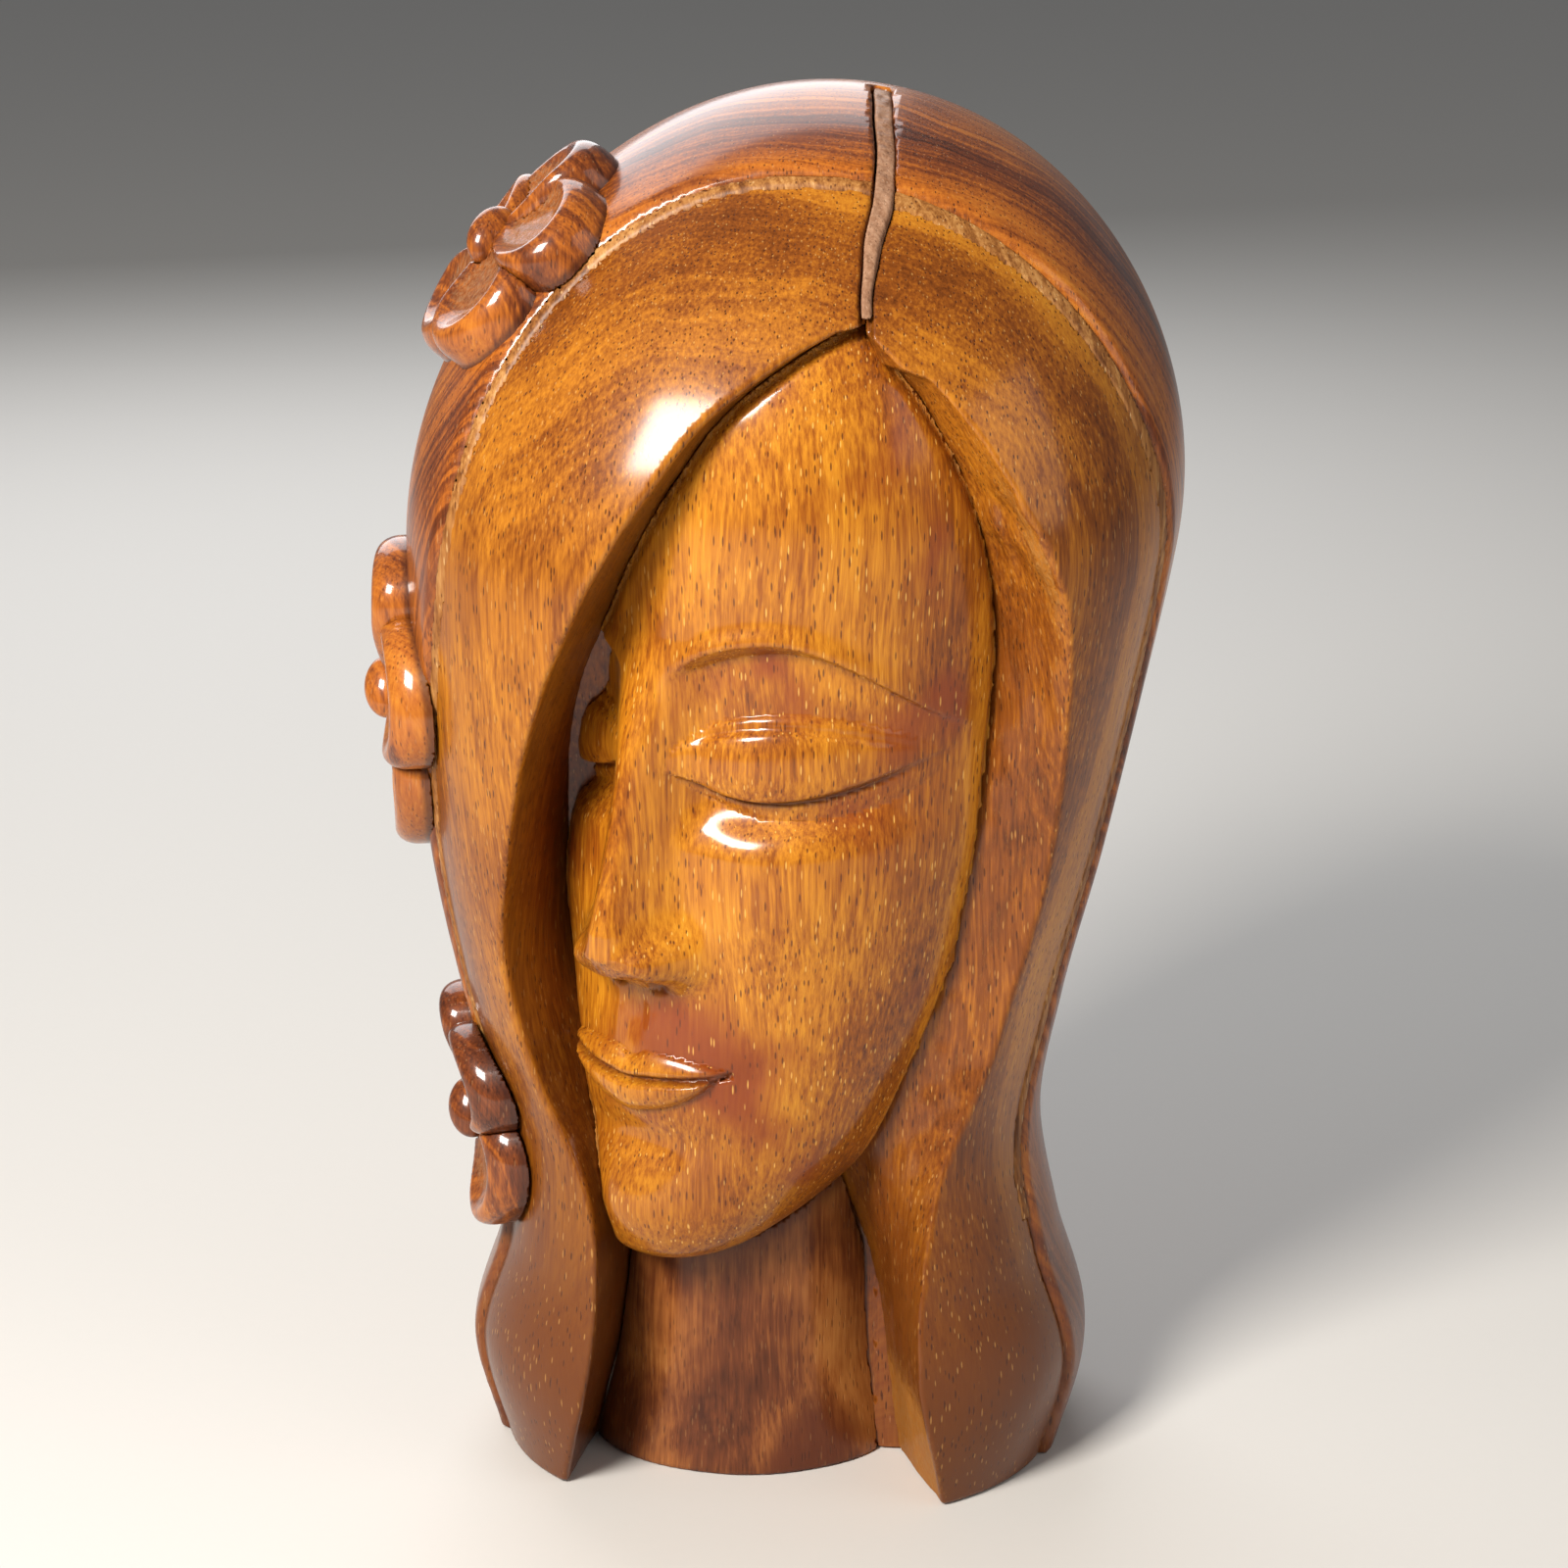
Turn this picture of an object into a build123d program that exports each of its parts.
"""Carved hardwood head of a woman under smooth parted hair, standing on its flat base.

Millimetres. The origin is on the base plane under the middle of the hair, +Z is up, and the front of
the head looks along -Y. Left and right are those of someone who faces the carving: left is -X.

The hair behind the band line is one block. The two front locks, the face and the neck lie against its
front, the light strips are let into its edge, and dowels hold each piece.
"""

import os
from math import cos, radians, sin

from build123d import *

os.makedirs("parts", exist_ok=True)

# Overall sizes of the carving
HEIGHT = 270.0
WIDTH = 148.0
DEPTH = 154.0

# The outlines below are drawn at these sizes and stretched to the overall sizes
DRAWN_HEIGHT = 270.0
DRAWN_WIDTH = 148.0
DRAWN_DEPTH = 154.0

# Hair: the front locks lie this much lower than the hair behind the band
LOCK_STEP = 1.6
# Light strips along the band line and in the parting
BAND_WIDTH = 3.0
BAND_BELOW = 0.6
BAND_DEPTH = 4.0
BAND_FOOT = 52.0
PARTING_X = 19.0
PARTING_WIDTH = 3.2
PARTING_BELOW = 2.4
PARTING_DEPTH = 4.0
PARTING_END_Y = 14.0
PARTING_FOOT = 237.0
# The face is turned to the left and its crown leans to the right as it rises
FACE_TURN = 34.0
FACE_LEAN = 0.09
FACE_AXIS_X = 1.0
FACE_AXIS_BACK = 0.02
FACE_AXIS_FOOT = 50.0
FACE_SQUARENESS = 0.57
# Neck at the base and under the jaw
NECK_X = -7.0
NECK_Y = -5.0
NECK_HALF_WIDTH = 29.5
NECK_HALF_DEPTH = 24.0
NECK_TOP_HALF_WIDTH = 26.0
NECK_TOP_HALF_DEPTH = 23.0
NECK_TOP = 104.0
# Frangipani flowers; a petal's length and width are shares of its flower's size across
PETALS = 5
PETAL_LENGTH = 0.5
PETAL_WIDTH = 0.36
PETAL_THICKNESS = 12.0
PETAL_DROOP = 5.0
BUD_DIAMETER = 9.0
BUD_RISE = 6.0
PEG_DIAMETER = 5.0
PEG_DEPTH = 14.0

# How far a cutting block reaches past the carving on every side, and how many times as wide as the
# opening's slanted walls its cutting block's walls are
REACH = 150.0
WALL_REACH = 2

# The locks part along the middle of the opening up to the first height, then slant to the parting
SPLIT_FOOT = 150.0
SPLIT_TOP = 200.0

# Heights and half sizes of the hair's horizontal sections: z, half width, half depth, centre x, centre
# y, and how square the section is (0.552 makes an ellipse)
HAIR_SECTIONS = [
    (0, 57, 50, 0, 0, 0.63),
    (22, 62, 53, 0, 0, 0.63),
    (45, 56, 51, 0, 0, 0.63),
    (68, 54, 50, -2, 1, 0.63),
    (95, 59.5, 57, -3.5, 3, 0.64),
    (125, 66, 65, -2.5, 5, 0.65),
    (155, 70.5, 72, -0.5, 8, 0.67),
    (185, 74, 77, 2, 10, 0.66),
]
# The crown is a dome on the last section, leaning right and back by this much at its top
DOME_STEPS = [15, 30, 45, 58, 70, 80]
DOME_LEAN_X = 6.0
DOME_LEAN_Y = 2.0
DOME_SQUARENESS = 0.57

# Side view of the band line, y and z, where the hair block ends and the front locks begin
BAND_LEFT = [(-24, 275), (-25, 255), (-34, 220), (-38, 198), (-33, 170), (-21, 130), (-15, 90), (-15, -5)]
BAND_RIGHT = [
    (-24, 275),
    (-25, 240),
    (-22, 216),
    (-14, 190),
    (-10, 160),
    (-12, 118),
    (-13, 88),
    (-17, 60),
    (-16, -5),
]

# Plan of the opening between the locks at each height: z, then x and y of the left wall's outer ridge
# and deep edge, and of the right wall's deep edge and outer ridge
OPENING_SECTIONS = [
    (-5, -41, -40, -37, -12, 24, -12, 38.5, -44),
    (35, -33, -46, -29, -18, 22.5, -21, 31, -46),
    (60, -34, -42, -28, -22, 20.5, -26, 34.5, -41),
    (84, -44, -39, -34, -22, 20.5, -28, 42.5, -34),
    (110, -50, -42, -41, -24, 31, -29, 50.5, -33),
    (135, -47.5, -50, -41, -30, 39.5, -31, 57, -36),
    (160, -42, -56, -37, -36, 44, -33, 58.5, -42),
    (185, -32, -61.5, -27, -42, 44, -36.5, 57, -48),
    (208, -18, -61, -13, -44, 38, -42, 47, -53),
    (222, -6, -57, -2, -44, 30, -44, 36.5, -52),
    (231, 7, -52.5, 10, -42, 23.5, -44, 27, -50),
    (236.5, 17.5, -48, 18.2, -40, 19.2, -40, 19.8, -48),
]

# Sections of the face: z, how far its centre lies ahead of the head's axis, half width, half depth
FACE_SECTIONS = [
    (48, 36, 9, 9),
    (55, 30, 18, 17),
    (70, 20, 30, 28),
    (88, 13, 37, 36),
    (108, 9, 42, 42),
    (130, 6, 45, 47),
    (155, 5, 46, 51),
    (180, 5, 47, 54),
    (205, 5, 46, 56),
    (225, 6, 42, 51),
    (240, 8, 34, 41),
    (250, 10, 24, 29),
]
# Features of the face: ahead, across and height of the centre, then half sizes the same way
NOSE_BRIDGE = (50, 0, 146, 8, 5.5, 24)
NOSE_TIP = (52.5, 0, 118, 10.5, 8.5, 9)
UPPER_LIP = (49, 0, 92, 6.5, 15, 4.2)
LOWER_LIP = (48.5, 0, 85.5, 6.5, 12.5, 4.6)
LIDS = [(42.5, -21, 150, 9, 14, 8), (42.5, 21, 150, 9, 14, 8)]
CHIN = (43, 0, 60, 9, 13, 10)

# Flowers: height of the middle, bearing from straight ahead round to the left, spin, size across
FLOWERS = {
    "upper": (240, 80, 20, 50),
    "middle": (154, 88, 0, 60),
    "lower": (68, 84, 30, 50),
}

# Dowels: x, y and z of the middle, length, diameter
DOWELS = {
    "face_dowel_upper": (0, -34, 185, 22, 8),
    "face_dowel_lower": (-3, -19, 112, 34, 8),
    "neck_dowel": (-7, -15, 26, 18, 8),
    "left_lock_dowel_upper": (-42, -37, 198, 15, 6),
    "left_lock_dowel_lower": (-46, -15, 40, 20, 6),
    "right_lock_dowel_upper": (58, -20, 195, 22, 6),
    "right_lock_dowel_lower": (44, -17, 45, 20, 6),
}

STRETCH_X = WIDTH / DRAWN_WIDTH
STRETCH_Y = DEPTH / DRAWN_DEPTH
STRETCH_Z = HEIGHT / DRAWN_HEIGHT


def drawn(x, y, z):
    """The place of a drawn point at the carving's real size."""
    return (x * STRETCH_X, y * STRETCH_Y, z * STRETCH_Z)


def oval(half_width, half_depth, squareness):
    """A closed curve of four quarters round the origin, squarer than an ellipse above 0.552."""
    handle_x = half_width * squareness
    handle_y = half_depth * squareness
    Bezier((half_width, 0), (half_width, handle_y), (handle_x, half_depth), (0, half_depth))
    Bezier((0, half_depth), (-handle_x, half_depth), (-half_width, handle_y), (-half_width, 0))
    Bezier((-half_width, 0), (-half_width, -handle_y), (-handle_x, -half_depth), (0, -half_depth))
    Bezier((0, -half_depth), (handle_x, -half_depth), (half_width, -handle_y), (half_width, 0))


def hair_sections():
    """All sections of the hair with the dome's, which shrink and lean towards the top."""
    base_z, half_width, half_depth, x, y, squareness = HAIR_SECTIONS[-1]
    dome = []
    for step in DOME_STEPS:
        rise = sin(radians(step))
        shrink = cos(radians(step))
        dome.append(
            (
                base_z + (DRAWN_HEIGHT - base_z) * rise,
                half_width * shrink,
                half_depth * shrink,
                x + DOME_LEAN_X * rise,
                y + DOME_LEAN_Y * rise,
                squareness + (DOME_SQUARENESS - squareness) * rise,
            )
        )
    return HAIR_SECTIONS + dome


def hair_mass(inset):
    """The whole outer form of the hair, made smaller all round, and lower at the top, by the inset."""
    with BuildPart() as mass:
        for z, half_width, half_depth, x, y, squareness in hair_sections():
            flat = (HEIGHT - inset) / HEIGHT
            with BuildSketch(Plane(origin=(x * STRETCH_X, y * STRETCH_Y, z * STRETCH_Z * flat))):
                with BuildLine():
                    oval(half_width * STRETCH_X - inset, half_depth * STRETCH_Y - inset, squareness)
                make_face()
        top = Vertex(*drawn(x, y, DRAWN_HEIGHT * flat))
        loft(sections=[*mass.pending_faces, top])
    return mass.part


def across_block(outline, from_x, to_x):
    """A block that runs along X between two planes, with a front or back edge drawn from the side."""
    curve = [(y * STRETCH_Y, z * STRETCH_Z) for y, z in outline]
    with BuildPart() as block:
        with BuildSketch(Plane.YZ.offset(from_x)):
            with BuildLine():
                Spline(*curve)
                Polyline(curve[-1], (-REACH, curve[-1][1]), (-REACH, curve[0][1]), curve[0])
            make_face()
        extrude(amount=to_x - from_x)
    return block.part


def front_block(forward):
    """Everything ahead of the band line on both sides, moved forward by an amount."""
    middle = PARTING_X * STRETCH_X
    left = [(y - forward / STRETCH_Y, z) for y, z in BAND_LEFT]
    right = [(y - forward / STRETCH_Y, z) for y, z in BAND_RIGHT]
    return across_block(left, -REACH, middle) + across_block(right, middle, REACH)


def opening_block():
    """The opening between the locks, with slanted walls that run out past the hair.

    The loft is ruled, because a smooth one rounds the sharp corner where a wall meets the face.
    """
    with BuildPart() as block:
        for z, *corners in OPENING_SECTIONS:
            left_ridge, left_deep, right_deep, right_ridge = [
                Vector(x * STRETCH_X, y * STRETCH_Y) for x, y in zip(corners[::2], corners[1::2])
            ]
            left_out = left_deep + (left_ridge - left_deep) * WALL_REACH
            right_out = right_deep + (right_ridge - right_deep) * WALL_REACH
            with BuildSketch(Plane.XY.offset(z * STRETCH_Z)):
                with BuildLine():
                    Polyline(
                        (left_deep.X, REACH),
                        (right_deep.X, REACH),
                        right_deep,
                        right_out,
                        (right_out.X, -REACH),
                        (left_out.X, -REACH),
                        left_out,
                        left_deep,
                        close=True,
                    )
                make_face()
        loft(ruled=True)
    return block.part


def face_point(ahead, across, z):
    """A point of the face, from its distances ahead of and across the head's turned axis."""
    turn = radians(FACE_TURN)
    up = z - FACE_AXIS_FOOT
    x = FACE_AXIS_X + FACE_LEAN * up - ahead * sin(turn) + across * cos(turn)
    y = FACE_AXIS_BACK * up - ahead * cos(turn) - across * sin(turn)
    return drawn(x, y, z)


def face_egg():
    """The egg of the head: chin, cheeks and forehead, turned about the head's axis."""
    size = (STRETCH_X + STRETCH_Y) / 2
    with BuildPart() as egg:
        for z, ahead, half_width, half_depth in FACE_SECTIONS:
            plane = Plane(origin=face_point(ahead, 0, z)).rotated((0, 0, -FACE_TURN))
            with BuildSketch(plane):
                with BuildLine():
                    oval(half_width * size, half_depth * size, FACE_SQUARENESS)
                make_face()
        loft()
    return egg.part


def lump(feature):
    """A rounded lump of the face: an ellipsoid with its own half sizes."""
    ahead, across, z, half_ahead, half_across, half_height = feature
    ball = scale(Sphere(1, mode=Mode.PRIVATE), by=(half_across, half_ahead, half_height), mode=Mode.PRIVATE)
    return Location(face_point(ahead, across, z), (0, 0, -FACE_TURN)) * ball


def write(part, name):
    """Labels a finished piece and writes it."""
    part.label = name
    export_step(part, f"parts/{name}.step")


def side_block(left):
    """Everything left or right of the parting and of a line down the middle of the opening."""
    edge = -REACH if left else REACH
    with BuildPart() as block:
        with BuildSketch(Plane.XZ.offset(REACH)):
            with BuildLine():
                Polyline(
                    (edge, -REACH),
                    (0, -REACH),
                    (0, SPLIT_FOOT * STRETCH_Z),
                    (PARTING_X * STRETCH_X, SPLIT_TOP * STRETCH_Z),
                    (PARTING_X * STRETCH_X, HEIGHT + REACH),
                    (edge, HEIGHT + REACH),
                    close=True,
                )
            make_face()
        extrude(amount=-REACH * 2)
    return block.part


def dowel_rod(x, y, z, length, diameter):
    """A plain dowel lying from front to back."""
    with BuildPart() as rod:
        with BuildSketch(Plane(origin=drawn(x, y, z), z_dir=(0, 1, 0))):
            Circle(diameter / 2)
        extrude(amount=length / 2, both=True)
    return rod.part


def flower_plane(height, bearing):
    """The plane that touches the hair where a flower's middle sits."""
    way = Axis((0, 0, height * STRETCH_Z), (-sin(radians(bearing)), -cos(radians(bearing)), 0))
    hits = outer.find_intersection_points(way)
    point, normal = max(hits, key=lambda hit: (hit[0] - way.position).dot(way.direction))
    outward = normal if normal.dot(way.direction) > 0 else -normal
    return Plane(origin=point, x_dir=(0, 0, 1), z_dir=outward)


def petal_blank(seat, turn, across):
    """A petal before it is cut to its neighbours: a flat ellipsoid that droops to the hair."""
    half_length = across * PETAL_LENGTH / 2
    half_sizes = (half_length, across * PETAL_WIDTH / 2, PETAL_THICKNESS / 2)
    ball = scale(Sphere(1, mode=Mode.PRIVATE), by=half_sizes, mode=Mode.PRIVATE)
    out = Location((across / 2 - half_length, 0, 0), (0, PETAL_DROOP, 0))
    return seat.location * Location((0, 0, 0), (0, 0, turn)) * out * ball


def parting_block():
    """The narrow slab that the parting strip lies in, from the hairline's peak back over the crown."""
    x, y, z = drawn(PARTING_X, PARTING_END_Y, PARTING_FOOT)
    with BuildPart() as slab:
        with BuildSketch(Plane.XY.offset(z)):
            with Locations((x, y - REACH)):
                Rectangle(PARTING_WIDTH, REACH * 2)
        extrude(amount=REACH)
    return slab.part


def inner_face():
    """The head inside the hair: the egg with the nose, lids, lips and chin raised on it."""
    with BuildPart() as head:
        add(face_egg())
        for feature in (NOSE_BRIDGE, NOSE_TIP, UPPER_LIP, LOWER_LIP, CHIN, *LIDS):
            add(lump(feature))
    return head.part


# Blanks and cutting blocks that the pieces share, so that neighbours always meet face to face
outer = hair_mass(0)
lowered = hair_mass(LOCK_STEP)
ahead_of_band = front_block(0)
opening = opening_block()
head = inner_face()
sides = {"left": side_block(True), "right": side_block(False)}
rods = {name: dowel_rod(*place) for name, place in DOWELS.items()}
parting_slab = parting_block()
parting_floor = hair_mass(PARTING_BELOW + PARTING_DEPTH)
band_floor = hair_mass(BAND_BELOW + BAND_DEPTH)
band_top = hair_mass(BAND_BELOW)
ahead_of_strip = front_block(BAND_WIDTH)

# Strip in the parting
with BuildPart() as parting_strip:
    add(hair_mass(PARTING_BELOW))
    add(parting_floor, mode=Mode.SUBTRACT)
    add(parting_slab, mode=Mode.INTERSECT)
write(parting_strip.part, "parting_strip")

with BuildPart() as parting_slot:
    add(parting_slab)
    add(parting_floor, mode=Mode.SUBTRACT)

# Light strips down the band line, left and right of the parting, and the rebates they lie in
band_strips = {}
rebates = {}
for side, half in sides.items():
    with BuildPart() as rebate:
        add(ahead_of_band)
        add(ahead_of_strip, mode=Mode.SUBTRACT)
        add(half, mode=Mode.INTERSECT)
        add(parting_slab, mode=Mode.SUBTRACT)
        split(bisect_by=Plane.XY.offset(BAND_FOOT * STRETCH_Z), keep=Keep.TOP)
        add(band_floor, mode=Mode.SUBTRACT)
    rebates[side] = rebate.part
    with BuildPart() as strip:
        add(band_top)
        add(rebate.part, mode=Mode.INTERSECT)
    band_strips[side] = strip.part
    write(strip.part, f"band_strip_{side}")

# Flowers: the bud is a peg with a round head, and the petals sit round it on the hair
seats = {name: flower_plane(height, bearing) for name, (height, bearing, *_) in FLOWERS.items()}
buds = {}
for flower, seat in seats.items():
    with BuildPart() as bud:
        with BuildSketch(seat.offset(-PEG_DEPTH)):
            Circle(PEG_DIAMETER / 2)
        extrude(amount=PEG_DEPTH + BUD_RISE)
        with Locations(seat.offset(BUD_RISE)):
            Sphere(BUD_DIAMETER / 2)
    buds[flower] = bud.part
    write(bud.part, f"{flower}_flower_bud")

# Back of the hair, with the crown
with BuildPart() as back_hair:
    add(outer)
    add(ahead_of_band, mode=Mode.SUBTRACT)
    add(parting_slot.part, mode=Mode.SUBTRACT)
    add([*rods.values(), *buds.values()], mode=Mode.SUBTRACT)
write(back_hair.part, "back_hair")

# Front locks, with the opening for the face between them
locks = {}
for side, half in sides.items():
    with BuildPart() as lock:
        add(lowered)
        add(ahead_of_band, mode=Mode.INTERSECT)
        add(half, mode=Mode.INTERSECT)
        add(opening, mode=Mode.SUBTRACT)
        add(rebates[side], mode=Mode.SUBTRACT)
        add(parting_slot.part, mode=Mode.SUBTRACT)
        add([*rods.values(), *buds.values()], mode=Mode.SUBTRACT)
    locks[side] = lock.part
    write(lock.part, f"front_lock_{side}")

for flower, (height, bearing, spin, across) in FLOWERS.items():
    blanks = [petal_blank(seats[flower], spin + 360 / PETALS * k, across) for k in range(PETALS)]
    for k in range(PETALS):
        with BuildPart() as petal:
            add(blanks[k])
            add([blanks[(k + 1) % PETALS], blanks[(k + 2) % PETALS]], mode=Mode.SUBTRACT)
            add([buds[flower], band_strips["left"], locks["left"], back_hair.part], mode=Mode.SUBTRACT)
        write(petal.part, f"{flower}_flower_petal_{k + 1}")

# Face, standing in the opening against the front of the hair block
with BuildPart() as face:
    add(head)
    add(ahead_of_band, mode=Mode.INTERSECT)
    add(opening, mode=Mode.INTERSECT)
    add([*rods.values()], mode=Mode.SUBTRACT)
write(face.part, "face")

# Neck, cut to the jaw above it
with BuildPart() as neck:
    with BuildSketch(Plane(origin=drawn(NECK_X, NECK_Y, 0))):
        Ellipse(NECK_HALF_WIDTH * STRETCH_X, NECK_HALF_DEPTH * STRETCH_Y)
    with BuildSketch(Plane(origin=drawn(NECK_X, NECK_Y, NECK_TOP))):
        Ellipse(NECK_TOP_HALF_WIDTH * STRETCH_X, NECK_TOP_HALF_DEPTH * STRETCH_Y)
    loft()
    add(ahead_of_band, mode=Mode.INTERSECT)
    add(opening, mode=Mode.INTERSECT)
    add([head, *rods.values()], mode=Mode.SUBTRACT)
write(neck.part, "neck")

# Dowels
for name, rod in rods.items():
    write(rod, name)
